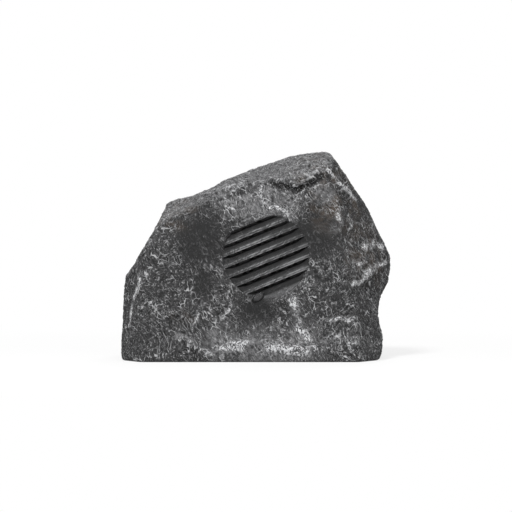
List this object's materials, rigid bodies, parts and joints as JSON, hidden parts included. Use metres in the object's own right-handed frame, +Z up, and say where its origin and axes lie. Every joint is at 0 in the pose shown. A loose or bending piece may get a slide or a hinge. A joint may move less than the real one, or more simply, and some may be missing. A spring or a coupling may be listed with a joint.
{
  "type": "rock shaped garden speaker",
  "caption": "Outdoor loudspeaker in a moulded rock housing with a slanted louvred opening in front, a screwed base plate below and a cable gland low at the back.",
  "frame": {"origin": "middle of the rock's bounding box, on the ground plane", "axes": "+Z up; +X to the right when facing the louvres; the louvred front looks along -Y"},
  "size_m": [0.32, 0.2308, 0.246],
  "materials": {
    "rock_resin": "moulded stone texture, charcoal with light grey dry-brushed flecks",
    "black_plastic": "fine satin grain",
    "gland_plastic": "satin moulded",
    "seal_rubber": "matt",
    "foam_gasket": "closed-cell foam, matt",
    "zinc_steel": "zinc plated",
    "screen_mesh": "black coated",
    "frame_metal": "black satin paint over pressed steel",
    "cone_paper": "pressed pulp, treated",
    "roll_rubber": "soft satin",
    "spider_cloth": "impregnated cloth",
    "former_film": "thin rolled foil",
    "copper_wire": "enamelled winding",
    "ferrite": "pressed and sintered, matt",
    "pole_steel": "plated",
    "tag_board": "laminate board",
    "tag_brass": "tinned",
    "tinsel": "braided",
    "red_insulation": "satin",
    "black_insulation": "satin",
    "block_plastic": "satin"
  },
  "bodies": {
    "enclosure": {"rock_shell": "rock_resin", "base_plate": "black_plastic", "base_gasket": "foam_gasket", "base_screws": "zinc_steel", "insect_screen": "screen_mesh", "screen_retainer": "black_plastic", "driver_gasket": "foam_gasket", "driver_frame": "frame_metal", "driver_screws": "zinc_steel", "surround": "roll_rubber", "spider": "spider_cloth", "front_plate": "pole_steel", "magnet": "ferrite", "yoke": "pole_steel", "tag_strip": "tag_board", "solder_tags": "tag_brass", "tinsel_leads": "tinsel", "lead_positive": "red_insulation", "lead_negative": "black_insulation", "terminal_block": "block_plastic", "terminal_screws": "zinc_steel", "gland_body": "gland_plastic", "gland_washer": "seal_rubber", "gland_seal": "seal_rubber", "gland_nut": "gland_plastic", "gland_locknut": "gland_plastic"},
    "cone_assembly": {"cone": "cone_paper", "dust_cap": "cone_paper", "voice_coil_former": "former_film", "voice_coil_winding": "copper_wire"}
  },
  "joints": [
    {"name": "cone_stroke", "type": "slide", "parent": "enclosure", "child": "cone_assembly", "axis": [0, -0.9703, 0.2419], "range_m": [-0.003, 0.003], "stiffness_N_per_m": 1500, "deforming": ["surround", "spider", "tinsel_leads"]}
  ]
}
